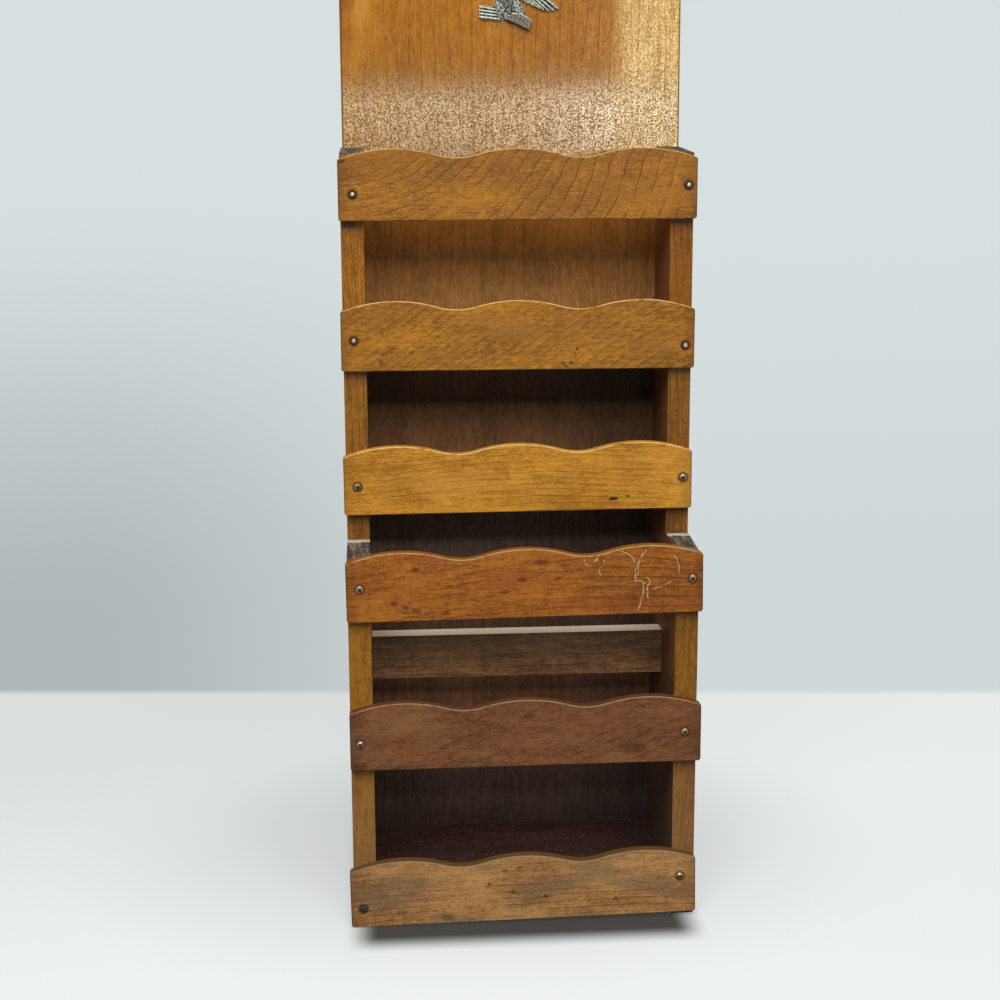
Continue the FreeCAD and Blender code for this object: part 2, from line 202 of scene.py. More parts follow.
# Clean and spotted colours of the pins, the colour of their dirt and of the painted dark
# reflections in their domes, and the colours of the nails and the eagle's nails
BRASS = ((0.40, 0.32, 0.20), (0.15, 0.11, 0.065))
PIN_DIRT_AND_DARK_REFLECTION = (0.024, 0.017, 0.010)
NAIL_STEEL = ((0.30, 0.29, 0.28), (0.12, 0.09, 0.07))
ORNAMENT_STEEL = ((0.15, 0.15, 0.13), (0.06, 0.06, 0.05))

# The pin at the lower left is filthy: it lies below and left of these, in millimetres
FILTHY_Z = (25.0, 30.0)
FILTHY_X = (-10.0, 10.0)

# The cast eagle's colours: its metal, perch, recesses and the painted highlight on its ridges
CAST_METAL = ((0.15, 0.155, 0.125), (0.080, 0.082, 0.066))
CAST_PERCH = (0.085, 0.058, 0.048)
CAST_RECESS = (0.008, 0.008, 0.006)
CAST_RIDGE_HIGHLIGHT = (0.66, 0.67, 0.56)

# Where its parts lie, in millimetres: X of the body's two edges, and its rise and the perch's
# top over the casting's foot, then the X of the perch
EAGLE_LEFT = (-9.0, -7.5)
EAGLE_RIGHT = (5.0, 7.0)
EAGLE_RISE = (8.0, 11.0)
PERCH_TOP = (8.7, 9.5)
PERCH_X = (-4.0, -2.5)

# How the eagle is softened, in millimetres: grid size, feather size and feather depth
CAST_GRID = 0.26
FEATHER_SIZE = 1.9
FEATHER_DEPTH = 0.28

# The casting's lowered wing: X in millimetres from where it is drawn in, how much of its
# reach is left, and its drop for each millimetre outwards
WING_ROOT = 4.0
WING_REACH = 0.82
WING_DROOP = 0.05

# How bright each side is beside the chosen colours, and what its upper end's colour is
# multiplied by
SIDE_SHARES = (1.0, 0.88)
SIDE_TINTS = ((1.27, 1.22, 0.70), (0.96, 0.82, 0.32))

# Where the backdrop stands behind the object, its slope for each metre of X and half the
# width of its soft foot, and the size of the floor, all in metres
WALL_Y = 0.375
WALL_SLOPE = 0.085
WALL_SOFT = 0.010
FLOOR_SIZE = 160.0

# The floor's painted shade far off at the back and the left, its painted shade all round the
# object, and its painted contact shadow right under the object's front
FLOOR_FAR_SHADE = (0.40, 0.42, 0.42)
FLOOR_SHADE_AROUND = (0.10, 0.10, 0.10)
FLOOR_CONTACT_SHADOW = (0.035, 0.030, 0.026)

# The painted contact shadow on the floor, in millimetres: its gap to the lowest slat and its half width
CONTACT_SHADOW_GAP = (-33.0, -11.0)
CONTACT_SHADOW_HALF = (84.0, 104.0)

# The soft shade round the object: X, Y, half width and half depth, in millimetres
AROUND = (-10.0, 60.0, 240.0, 180.0)

# Each lamp's place, width and height, in metres, how strong the right strip is beside the
# other one, the place that all face, and the colours of the light
OVERHEAD_LAMP = ((-0.10, -1.32, 1.66), 1.7, 1.15)
SMALL_LAMP = ((0.0, -3.0, 1.75), 0.26, 0.26)
STRIP_LAMP = ((0.22, -3.0, 0.54), 0.90, 0.18)
RIGHT_STRIP_LAMP = ((0.58, -3.0, 0.68), 0.18, 0.50)
RIGHT_STRIP_SHARE = 1.1
LAMPS_AIM = (0.0, 0.0, 0.25)
STRIP_COLOUR = (1.0, 0.92, 0.77)
ROOM_COLOUR = (0.95, 0.98, 1.0)

# The growth lines of the first slat are arcs, and the fourth slat is scratched
ARCHED_SLAT = 0
SCRATCHED_SLAT = 3

# The arcs' middle (X, then height over the slat's lower edge) and the radius they are counted
# from, in millimetres, and how many lie between one distance and e times that distance
ARCH = (-100.0, 108.0, 90.0, 22.0)

# How the growth lines run on each slat: degrees from level, distance between them in
# millimetres, where they turn over (X in millimetres) and how sharply
SLAT_FIGURES = (
    (0.0, 5.0, 0.0, 0.0),
    (33.0, 4.2, 0.0, 0.4),
    (4.0, 3.4, -40.0, 0.6),
    (3.0, 5.0, 20.0, 0.8),
    (24.0, 5.4, 0.0, 0.3),
    (1.0, 4.0, 10.0, 0.5),
)

# The same for the back board, the sides, the shelves and the rail
BACK_FIGURE = (0.5, 7.0, 0.0, 0.0)
SIDE_FIGURE = (1.5, 4.0, 200.0, 0.3)
SHELF_FIGURE = (2.0, 5.0, 0.0, 0.0)
RAIL_FIGURE = (0.5, 6.0, 0.0, 0.0)

# Seeds of the grain: the slats' count up from theirs, one by one
SLAT_SEED = 3.1
BACK_SEED = 11.4
SIDE_SEEDS = (7.7, 9.2)
SHELF_SEED = 21.0
RAIL_SEED = 31.0

# Dark spots on the slats: across and up from the middle of the slat's lower edge, then
# half width and half height, all in millimetres, and how dark
SLAT_MARKS = (
    ((-96.3, 32.1, 1.6, 1.1, 0.95), (74.7, 34.0, 0.5, 0.4, 0.3), (-18.0, 6.0, 0.4, 0.3, 0.5)),
    (
        (32.3, 11.2, 0.8, 1.0, 0.85),
        (31.5, 8.4, 0.9, 0.8, 0.75),
        (25.0, 3.4, 1.2, 0.7, 0.85),
        (29.0, 3.7, 1.1, 0.9, 0.85),
        (26.4, 1.9, 1.0, 0.6, 0.80),
        (-59.5, 10.1, 1.6, 1.2, 0.60),
        (-76.7, 4.8, 1.2, 1.2, 0.60),
        (-75.9, 20.3, 0.9, 0.7, 0.50),
    ),
    ((53.8, 6.4, 2.7, 1.1, 0.97), (61.8, 7.7, 1.3, 0.7, 0.80), (-6.6, 21.5, 1.6, 2.4, 0.25)),
    (
        (60.6, 8.7, 2.6, 0.9, 0.80),
        (8.0, 31.0, 5.0, 1.4, 0.60),
        (22.0, 29.0, 3.0, 1.0, 0.55),
        (-60.0, 6.0, 3.0, 1.6, 0.60),
        (-44.0, 4.0, 2.4, 1.2, 0.60),
        (-11.5, 14.9, 3.4, 1.2, 0.65),
        (-60.4, 29.0, 2.4, 1.6, 0.75),
        (-2.0, 21.7, 3.2, 1.4, 0.70),
        (17.7, 21.7, 2.4, 1.0, 0.55),
        (-72.6, 10.1, 2.2, 1.4, 0.70),
        (-66.0, 8.0, 2.0, 1.2, 0.70),
    ),
    (
        (47.0, 24.6, 0.6, 0.6, 0.95),
        (71.5, 13.9, 0.6, 0.6, 0.95),
        (2.0, 30.0, 3.0, 2.2, 0.45),
        (-22.0, 2.0, 3.2, 1.6, 0.45),
        (-11.3, 22.4, 6.0, 2.2, 0.30),
        (58.8, 9.5, 7.5, 4.5, 0.40),
    ),
    (
        (12.6, 13.6, 1.5, 1.0, 0.85),
        (-6.2, 16.9, 1.5, 0.9, 0.80),
        (-19.7, 22.8, 1.3, 0.9, 0.65),
        (52.6, 9.8, 2.2, 1.5, 0.55),
        (53.7, 26.4, 2.4, 0.9, 0.40),
        (-11.0, 30.3, 2.0, 1.0, 0.50),
        (-2.4, 32.0, 1.8, 1.0, 0.50),
        (-43.9, 3.6, 4.0, 2.0, 0.40),
        (-70.0, 8.0, 4.0, 1.2, 0.35),
    ),
)

# Scratches on the fourth slat: places across and up from the middle of its lower edge, in
# millimetres
SCRATCHES = (
    ((43.2, 31.2), (43.8, 28.9), (41.3, 27.3), (40.5, 25.0), (41.3, 23.0)),
    ((41.2, 34.6), (39.1, 31.8), (38.0, 30.0)),
    ((32.4, 32.5), (32.8, 29.2), (34.1, 29.0)),
    ((66.1, 36.3), (63.4, 32.4), (61.8, 29.1), (60.7, 25.7), (60.5, 21.7), (60.8, 18.3)),
    ((64.6, 33.6), (62.9, 30.0), (62.0, 26.0), (61.8, 22.0)),
    ((52.8, 36.1), (56.2, 34.3), (59.0, 32.5), (60.1, 29.6)),
    ((81.7, 33.2), (83.4, 30.9), (84.6, 27.5), (84.9, 23.0)),
    ((66.9, 21.0), (69.1, 18.1), (67.5, 15.9), (67.8, 8.5)),
    ((65.3, 17.1), (65.3, 13.1), (64.2, 8.6), (63.2, 4.6), (62.1, 2.4)),
    ((61.3, 18.9), (63.6, 18.8), (65.8, 17.6)),
    ((70.5, 14.0), (76.0, 15.5), (81.0, 18.5)),
)


class Wire:
    """One output of a material's nodes, which can be used in sums like a number."""

    def __init__(self, finish, socket):
        self.finish = finish
        self.socket = socket

    def maths(self, operation, *values):
        return self.finish.node("ShaderNodeMath", {"operation": operation}, values)

    def __add__(self, other):
        return self.maths("ADD", self, other)

    def __radd__(self, other):
        return self.maths("ADD", other, self)

    def __sub__(self, other):
        return self.maths("SUBTRACT", self, other)

    def __rsub__(self, other):
        return self.maths("SUBTRACT", other, self)

    def __mul__(self, other):
        return self.maths("MULTIPLY", self, other)

    def __rmul__(self, other):
        return self.maths("MULTIPLY", other, self)

    def __truediv__(self, other):
        return self.maths("DIVIDE", self, other)

    def __rtruediv__(self, other):
        return self.maths("DIVIDE", other, self)

    def __pow__(self, other):
        return self.maths("POWER", self, other)

    def __abs__(self):
        return self.maths("ABSOLUTE", self)

    def part(self):
        """What is left over after the last whole number."""
        return self.maths("FRACT", self)

    def least(self, other):
        return self.maths("MINIMUM", self, other)

    def most(self, other):
        return self.maths("MAXIMUM", self, other)

    def held(self):
        """Kept between nought and one."""
        return self.finish.node("ShaderNodeClamp", {}, (self,))

    def between(self, low, high):
        """Nought at low, one at high and a soft run between them."""
        return self.finish.node(
            "ShaderNodeMapRange",
            {"interpolation_type": "SMOOTHSTEP"},
            {"Value": self, "From Min": low, "From Max": high, "To Min": 0.0, "To Max": 1.0},
        )

    def between_mm(self, low, high):
        """The same for a length, with low and high in millimetres."""
        return self.between(low * MM, high * MM)


class Finish:
    """One material and the nodes it is made of."""

    def __init__(self, name):
        self.material = bpy.data.materials.new(name)
        self.material.use_nodes = True
        self.tree = self.material.node_tree
        self.shader = self.tree.nodes["Principled BSDF"]
        self.place = self.node("ShaderNodeTexCoord", output="Object")
        self.x, self.y, self.z = self.split(self.place)
        facing = self.node("ShaderNodeNewGeometry", output="True Normal")
        self.facing_x, self.facing_y, self.facing_z = self.split(facing)

    def node(self, kind, settings=None, values=(), output=0):
        """Adds a node: its settings first, then the values or wires of its inputs."""
        made = self.tree.nodes.new(kind)
        for name, setting in (settings or {}).items():
            setattr(made, name, setting)
        pairs = values.items() if isinstance(values, dict) else enumerate(values)
        for key, value in pairs:
            self.feed(made.inputs[key], value)
        return Wire(self, made.outputs[output])

    def feed(self, socket, value):
        if isinstance(value, Wire):
            self.tree.links.new(value.socket, socket)
        elif socket.type == "RGBA" and len(value) == 3:
            socket.default_value = (*value, 1.0)
        else:
            socket.default_value = value

    def split(self, vector):
        """X, Y and Z of a vector."""
        made = self.tree.nodes.new("ShaderNodeSeparateXYZ")
        self.feed(made.inputs[0], vector)
        return [Wire(self, socket) for socket in made.outputs]

    def join(self, x, y, z):
        return self.node("ShaderNodeCombineXYZ", {}, (x, y, z))

    def vector(self, operation, *values, output=0):
        """One step of vector maths: its value comes from output 1."""
        return self.node("ShaderNodeVectorMath", {"operation": operation}, values, output)

    def noise(self, scale, shift=(0.0, 0.0, 0.0), detail=2.0, roughness=0.5):
        """A cloudy pattern, with its own scale along X, Y and Z in turns for each metre."""
        values = {"Vector": self.place, "Location": shift, "Scale": scale}
        place = self.node("ShaderNodeMapping", {"vector_type": "POINT"}, values)
        values = {"Vector": place, "Scale": 1.0, "Detail": detail, "Roughness": roughness}
        return self.node("ShaderNodeTexNoise", {}, values)

    def blend(self, share, first, second, kind="MIX"):
        """Mixes two colours."""
        made = self.tree.nodes.new("ShaderNodeMix")
        made.data_type = "RGBA"
        made.blend_type = kind
        self.feed(made.inputs[0], share)
        self.feed(made.inputs[6], first)
        self.feed(made.inputs[7], second)
        return Wire(self, made.outputs[2])

    def distance(self, x, z, centre_x, centre_z, half_x=1.0, half_z=1.0):
        """How far a place is from a centre, in shares of a half width and a half height."""
        across = (x - centre_x) / half_x
        up = (z - centre_z) / half_z
        return (across * across + up * up) ** 0.5

    def relief(self, height, strength, depth):
        """A bump for the shader's normal."""
        values = {"Strength": strength, "Distance": depth, "Height": height}
        self.feed(self.shader.inputs["Normal"], self.node("ShaderNodeBump", {}, values))

    def set(self, **values):
        """Sets the shader's own sockets, by their names with _ for a space."""
        for name, value in values.items():
            self.feed(self.shader.inputs[name.replace("_", " ")], value)
        return self.material


def grain(finish, along, pale, deep, figure, seed, arch=None, lines=0.8):
    """The colour and relief of varnished wood whose fibres run along X or along Z.

    The growth lines run level, or else as arcs about one middle, wider apart further out;
    lines says how strongly they show.
    """
    slope, spacing, turn_x, bend = figure
    run, rise = (finish.x, finish.z) if along == "X" else (finish.z, finish.x)
    shift = (seed * 1.37, seed * 0.71, seed * 2.13)
    fibre, mottle, blotch, fleck, wander, cloud = (
        finish.noise(level if along == "X" else upright, shift, detail, roughness)
        for level, upright, detail, roughness in GRAIN_PATTERNS.values()
    )
    if arch is None:
        angle = math.radians(slope)
        across = rise * math.cos(angle) - run * math.sin(angle) + finish.y * 0.4
        away = run - turn_x * MM
        across = (across + away * away * bend) / (spacing * MM)
    else:
        arch_x, arch_z, near, count = arch
        reach = finish.distance(finish.x, finish.z, arch_x, arch_z, near, near)
        across = finish.node("ShaderNodeMath", {"operation": "LOGARITHM"}, (reach, math.e)) * count
    ring = (across + (wander - 0.5) * 2.6 + (mottle - 0.5) * 0.10).part()
    line = ring.between(0.84, 0.95) * (1.0 - ring.between(0.95, 1.0))
    ramp = ring.between(0.0, 0.9) * (1.0 - ring.between(0.92, 1.0))
    broken = mottle.between(0.20, 0.42) * blotch.between(0.34, 0.60)
    tone = 0.46 + (fibre - 0.5) * 1.9 + (mottle - 0.5) * 2.0 + (blotch - 0.5) * 1.8
    tone = tone + (cloud - 0.5) * 0.9 + ramp * 0.14 + line * broken * (lines * 0.5)
    colour = finish.blend(tone.held(), pale, deep)
    colour = finish.blend(line * broken * lines, colour, tuple(c * 0.36 for c in deep))
    colour = finish.blend(fleck.between(0.62, 0.76) * 0.5, colour, tuple(c * 0.45 for c in deep))
    relief = fibre * 0.5 + mottle * 0.4 - line * 0.3
    return colour, relief, tone


def scratch_distance(finish, place):
    """How far a place on the slat is from the nearest scratch."""
    nearest = None
    for points in SCRATCHES:
        ends = [Vector((across, 0.0, up)) * MM for across, up in points]
        for start, end in zip(ends, ends[1:]):
            run = end - start
            away = finish.vector("SUBTRACT", place, start)
            share = finish.vector("DOT_PRODUCT", away, run / run.length_squared, output=1).held()
            foot = finish.node("ShaderNodeVectorMath", {"operation": "SCALE"}, {0: run, "Scale": share})
            off = finish.vector("DISTANCE", away, foot, output=1)
            nearest = off if nearest is None else nearest.least(off)
    return nearest


def slat_frame(node):
    """Middle of a slat's lower edge, and its rise for each metre to the right."""
    low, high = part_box(node)
    spots = [v.co for v in NODES[node].data.vertices]
    margin = (high.x - low.x) * 0.05
    left = min((v for v in spots if v.x < low.x + margin), key=lambda v: v.z)
    right = min((v for v in spots if v.x > high.x - margin), key=lambda v: v.z)
    rise = (right.z - left.z) / (right.x - left.x)
    middle = (low.x + high.x) / 2
    return middle, left.z + rise * (middle - left.x), rise


def pin_place(slat, side):
    """X and Z of the middle of the pin at one end of a slat: side is -1 or 1."""
    low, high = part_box(slat)
    spots = [v.co for v in NODES["slat_pins"].data.vertices if low.z < v.co.z < high.z and v.co.x * side > 0]
    xs = [v.x for v in spots]
    zs = [v.z for v in spots]
    return (min(xs) + max(xs)) / 2, (min(zs) + max(zs)) / 2


def dress(node, material):
    """Gives a CAD node its finish."""
    slots = NODES[node].data.materials
    slots.clear()
    slots.append(material)


def pin_halo(finish, slat):
    """Dirt round the two pins of a slat."""
    mask = None
    for side in (-1, 1):
        pin_x, pin_z = pin_place(slat, side)
        off = finish.distance(finish.x, finish.z, pin_x, pin_z, MM, MM)
        ring = 1.0 - off.between(*PIN_HALO)
        mask = ring if mask is None else mask.most(ring)
    return mask


def slat_finish(number, looks):
    """Varnished wood of one slat, with its own colour, grain, marks, and worn edges with a painted
    highlight.
    """
    node = SLATS[number]
    finish = Finish("%s_wood" % node)
    pale, deep = SLAT_COLOURS[number]
    middle, foot, rise = slat_frame(node)
    arch = None
    if number == ARCHED_SLAT:
        arch_x, arch_rise, near, count = ARCH
        arch = (arch_x * MM, foot + arch_rise * MM, near * MM, count)
    figure = SLAT_FIGURES[number]
    colour, relief, tone = grain(finish, "X", pale, deep, figure, SLAT_SEED + number, arch)
    x = finish.x - middle
    z = finish.z - foot - x * rise
    rub = finish.noise((220.0, 400.0, 400.0), (number, 0.0, 0.0), 3.0, 0.65)
    wobble = (finish.noise((420.0, 420.0, 420.0)) - 0.5) * (1.2 * MM)

    clouds, share = SLAT_CLOUDS[number]
    cloudy = finish.noise((24.0, 60.0, 62.0), (number * 1.7, 0.0, 3.0), 4.0, 0.62)
    colour = finish.blend(cloudy.between(0.46, 0.66) * share, colour, clouds)

    grime = pin_halo(finish, node) * 0.9
    for across, up, half_x, half_z, dark in SLAT_MARKS[number]:
        sizes = (across * MM, up * MM, half_x * MM, half_z * MM)
        spot = finish.distance(x + wobble, z + wobble, *sizes)
        grime = grime.most((1.0 - spot.between(0.65, 1.25)) * dark)
    front = 1.0 - finish.facing_y.between(-0.5, 0.0)
    colour = finish.blend(grime * front, colour, SLAT_STAINS[number])

    top = finish.facing_z.between(0.80, 0.95)
    slant = finish.facing_y.between(-0.98, -0.85) * (1.0 - finish.facing_y.between(-0.45, -0.2))
    upper = slant * finish.facing_z.between(0.2, 0.5)
    lower = slant * (1.0 - finish.facing_z.between(-0.5, -0.2))
    ends = abs(finish.facing_x).between(0.35, 0.8)
    colour = finish.blend(top, colour, tuple(c * SLAT_TOP_TONES[number] for c in pale))
    # The rubbed front edges, with a painted highlight along the upper one
    colour = finish.blend(upper * rub.between(0.30, 0.50) * looks.wear, colour, SLAT_WORN_AND_HIGHLIGHT[number])
    colour = finish.blend(lower * rub.between(0.42, 0.62) * 0.5, colour, SLAT_WORN_AND_HIGHLIGHT[number])
    colour = finish.blend(ends * 0.75, colour, SLAT_ENDS)
    near_end = abs(x).between_mm(*SLAT_DARK_ENDS)
    colour = finish.blend(near_end * 0.35, colour, tuple(c * 0.45 for c in deep))

    rough = 0.46 - (tone - 0.5) * 0.10
    if number == SCRATCHED_SLAT:
        jag = (finish.noise((800.0, 800.0, 800.0)) - 0.5) * (1.9 * MM)
        off = scratch_distance(finish, finish.join(x + jag + wobble, 0.0, z - jag))
        mask = (1.0 - off.between_mm(*SCRATCH_LINE)) * rub.between(0.30, 0.52) * front
        shade = (1.0 - off.between_mm(*SCRATCH_SHADE)) * front
        colour = finish.blend(shade * 0.35, colour, tuple(c * 0.4 for c in deep))
        colour = finish.blend(mask * 0.72, colour, SCRATCH_PALE)
        relief = relief - mask * 1.5
        rough = rough + mask * 0.2
    finish.relief(relief, 0.5, RELIEF_DEPTH)
    rough = (rough + slant * 0.12).held()
    return finish.set(Base_Color=colour, Roughness=rough, Specular_IOR_Level=SHEEN)


def back_finish(looks):
    """Golden varnish with upright grain: glossy above the pockets with a painted glare on the right, dull
    and with painted light and shade down inside them.
    """
    finish = Finish("back_board_wood")
    shades = (looks.back_pale, looks.back_deep)
    colour, relief, tone = grain(finish, "Z", *shades, BACK_FIGURE, BACK_SEED, lines=0.55)
    front = 1.0 - finish.facing_y.between(-0.8, -0.3)
    inside = front * (1.0 - abs(finish.x).between_mm(*POCKET_HALF))
    # Painted light and shade in bands down inside the pockets
    for lower, upper, shade, share in POCKET_LIGHT_AND_SHADE_BANDS:
        below = (1.0 - finish.z.between_mm(lower, upper)) * inside
        pale, deep = (tuple(c * times for c in shade) for times in (1.06, 0.42))
        dark = finish.blend(tone.held() * 0.8, pale, deep)
        colour = finish.blend(below * share, colour, dark)
    # Painted shade towards the right of the lower pockets
    right_shade = finish.x.between_mm(*RIGHT_SHADE_X) * (1.0 - finish.z.between_mm(*RIGHT_SHADE_Z)) * inside
    colour = finish.blend(right_shade * 0.5, colour, BACK_RIGHT_SHADE)
    side_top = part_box("left_side")[1].z
    peel = finish.noise((780.0, 780.0, 700.0), detail=3.0, roughness=0.65)
    pebble = finish.noise((1500.0, 1500.0, 1500.0), detail=1.0, roughness=0.5)
    cells = finish.node("ShaderNodeTexVoronoi", {}, {"Vector": finish.place, "Scale": 1500.0}, "Color")
    speck = finish.split(cells)[0]
    above = finish.z.between(side_top - 16 * MM, side_top - 2 * MM) * front
    ragged = finish.z + (speck - 0.5) * (20 * MM) + (peel - 0.5) * (8 * MM)
    band = 1.0 - ragged.between_mm(*GLOSS_TOP)
    combed = finish.noise((700.0, 500.0, 26.0), (1.0, 0.0, 0.0), 3.0, 0.7)
    right_side = (finish.x + (peel - 0.5) * (8 * MM)).between_mm(*GLOSS_RIGHT)
    glossy = above * (band * (1.0 - right_side * 0.30)).most(right_side * 0.40).most(0.12)
    coat = (speck ** 1.6 * 1.25 + 0.06) * glossy * (combed.between(0.32, 0.60) * 0.45 + 0.55)
    cloud = finish.noise((30.0, 30.0, 18.0), (4.0, 0.0, 0.0), 3.0, 0.6)
    swung = finish.x + (cloud - 0.5) * (24 * MM)
    left_edge = (1.0 - swung.between_mm(*RED_EDGE_X)) * finish.z.between_mm(*RED_EDGE_Z)
    colour = finish.blend(left_edge * 0.45, colour, BACK_RED_EDGE)
    yellow = finish.distance(swung, finish.z, *(c * MM for c in YELLOW_PATCH))
    colour = finish.blend((1.0 - yellow.between(0.5, 1.2)) * 0.40, colour, BACK_YELLOW)
    # Painted glare: the golden colour on the right part of the upper board
    golden = right_side * above * (combed.between(0.36, 0.56) * 0.5 + 0.35)
    colour = finish.blend(golden, colour, BACK_PAINTED_GLARE)
    pitted = band * (0.85 - right_side * 0.5) + right_side * 0.20 + 0.12
    pits = (1.0 - speck.between(0.10, 0.60)) * pitted * above
    colour = finish.blend(band * above * 0.40, colour, BACK_BAND)
    colour = finish.blend(pits * 0.60, colour, BACK_PITS)
    ends = finish.facing_z.between(0.6, 0.9).most(abs(finish.facing_x).between(0.6, 0.9))
    colour = finish.blend(ends * 0.6, colour, BACK_ENDS)
    finish.relief(relief * 0.4 + pebble * 0.12, 0.4, RELIEF_DEPTH)
    finish.set(Specular_IOR_Level=0.02, Coat_Roughness=0.17, Coat_IOR=1.5)
    return finish.set(Base_Color=colour, Roughness=0.40 + peel * 0.10, Coat_Weight=coat.held())


def side_finish(name, share, tint, seed, looks):
    """Amber varnish with upright grain, grey and dusty on the sawn end grain, with painted shade on the
    inner faces.
    """
    finish = Finish("%s_wood" % name)
    pale = tuple(c * share for c in looks.side_pale)
    deep = tuple(c * share for c in looks.side_deep)
    colour, relief, _ = grain(finish, "Z", pale, deep, SIDE_FIGURE, seed)
    worn = 1.0 - finish.z.between_mm(*SIDE_FOOT_Z)
    colour = finish.blend(worn * 0.45, colour, SIDE_FOOT)
    rich = finish.z.between_mm(*SIDE_RICH_Z)
    colour = finish.blend(rich, colour, tint, "MULTIPLY")
    streak = finish.noise((260.0, 60.0, 260.0), (seed, 0.0, 0.0), 4.0, 0.7)
    if name == "left_side":
        ragged = (streak - 0.5) * (7 * MM)
        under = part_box("front_slat_1")[0].z - 1 * MM
        place = (finish.x + ragged, finish.z + ragged)
        spot_x, half_x, half_z = (c * MM for c in SIDE_DIRT_SPOT)
        stain = finish.distance(*place, spot_x, under, half_x, half_z)
        colour = finish.blend((1.0 - stain.between(0.6, 1.1)) * 0.85, colour, SIDE_DIRT)
    sawn = finish.facing_z.between(0.75, 0.92)
    dusty = finish.blend(streak.between(0.44, 0.64), SAWN_DARK, SAWN_DUSTY)
    # A pale line across the sawn tops near the slats' back faces
    ahead = finish.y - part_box("front_slat_3")[1].y + (streak - 0.5) * (7 * MM)
    pale_line = ahead.between_mm(*PALE_LINE_BEGIN) * (1.0 - ahead.between_mm(*PALE_LINE_END))
    dusty = finish.blend(pale_line * 0.9, dusty, SAWN_PALE_LINE)
    colour = finish.blend(sawn, colour, dusty)
    # Painted shade on the inner faces, deeper low down in the pockets
    inner = finish.facing_x * (1.0 if name == "left_side" else -1.0)
    inner = inner.between(0.7, 0.95)
    inner_shade = finish.blend(finish.z.between_mm(*SIDE_INNER_SHADE_Z), *SIDE_INNER_SHADE)
    colour = finish.blend(inner * 0.82, colour, inner_shade)
    finish.relief(relief, 0.5, RELIEF_DEPTH)
    return finish.set(Base_Color=colour, Roughness=0.48 + sawn * 0.30, Specular_IOR_Level=SHEEN)


def shelf_finish():
    """Thin red-brown stain under specks of dust."""
    finish = Finish("shelf_board_wood")
    colour, relief, _ = grain(finish, "X", SHELF_PALE, SHELF_DEEP, SHELF_FIGURE, SHELF_SEED)
    dust = finish.noise((650.0, 650.0, 650.0), roughness=0.7)
    up = finish.facing_z.between(0.7, 0.9)
    colour = finish.blend(up * dust.between(0.64, 0.72) * 0.6, colour, SHELF_DUST)
    finish.relief(relief, 0.4, RELIEF_DEPTH)
    return finish.set(Base_Color=colour, Roughness=0.62, Specular_IOR_Level=SHEEN)


def rail_finish():
    """Brown stained front, mottled, with painted shade towards its top; bare sawn wood on the upper edge."""
    finish = Finish("divider_rail_wood")
    colour, relief, _ = grain(finish, "X", RAIL_PALE, RAIL_DEEP, RAIL_FIGURE, RAIL_SEED)
    low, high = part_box("divider_rail")
    # Dark mottle on the front, with painted shade that deepens towards its top
    mottle_and_shade = finish.noise((40.0, 70.0, 120.0), detail=3.0, roughness=0.6)
    upward = (finish.z - low.z) / (high.z - low.z)
    mottle_and_shade = (mottle_and_shade.between(0.35, 0.65) * 0.6 + 0.4) * upward.between(0.0, 0.8)
    colour = finish.blend(mottle_and_shade * 0.62, colour, RAIL_MOTTLE_AND_SHADE)
    bare = finish.facing_z.between(0.6, 0.9)
    colour = finish.blend(bare, colour, RAIL_BARE)
    finish.relief(relief, 0.5, RELIEF_DEPTH)
    return finish.set(Base_Color=colour, Roughness=0.60 + bare * 0.25, Specular_IOR_Level=SHEEN)


def pin_finish():
    """Dull brass, with painted dark reflections round the upper heads and in the middle of the lower ones,
    and dirt on the filthy one.
    """
    finish = Finish("domed_pin_brass")
    spots = finish.noise((900.0, 900.0, 900.0), roughness=0.6)
    colour = finish.blend(spots.between(0.40, 0.64), *BRASS)
    upper = finish.z.between(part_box("front_slat_3")[1].z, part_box("front_slat_2")[0].z)
    # Painted dark reflections: the middle of the lower domes, a ring round the upper ones, and every dome's
    # edge
    dark_reflected_middle = (1.0 - finish.facing_y.between(-0.90, -0.82)) * (1.0 - upper)
    dark_reflected_rim = finish.facing_y.between(-0.93, -0.80) * upper
    dark_reflected_rim = dark_reflected_rim.most(finish.facing_y.between(-0.56, -0.42) * 0.7)
    filthy = (1.0 - finish.z.between_mm(*FILTHY_Z)) * (1.0 - finish.x.between_mm(*FILTHY_X))
    dark = dark_reflected_middle.most(filthy).most(dark_reflected_rim)
    colour = finish.blend(dark * 0.92, colour, PIN_DIRT_AND_DARK_REFLECTION)
    finish.relief(spots, 0.3, 0.1 * MM)
    rough = 0.36 + spots * 0.2 + filthy * 0.3
    finish.set(Base_Color=colour, Roughness=rough)
    return finish.set(Metallic=0.9 - dark * 0.85, Specular_IOR_Level=0.1)


def nail_finish(name, clean, rusty):
    """Dull steel of the nails."""
    finish = Finish(name)
    spots = finish.noise((700.0, 700.0, 700.0), roughness=0.6)
    colour = finish.blend(spots.between(0.4, 0.65), clean, rusty)
    return finish.set(Base_Color=colour, Roughness=0.40 + spots * 0.2, Metallic=0.9)


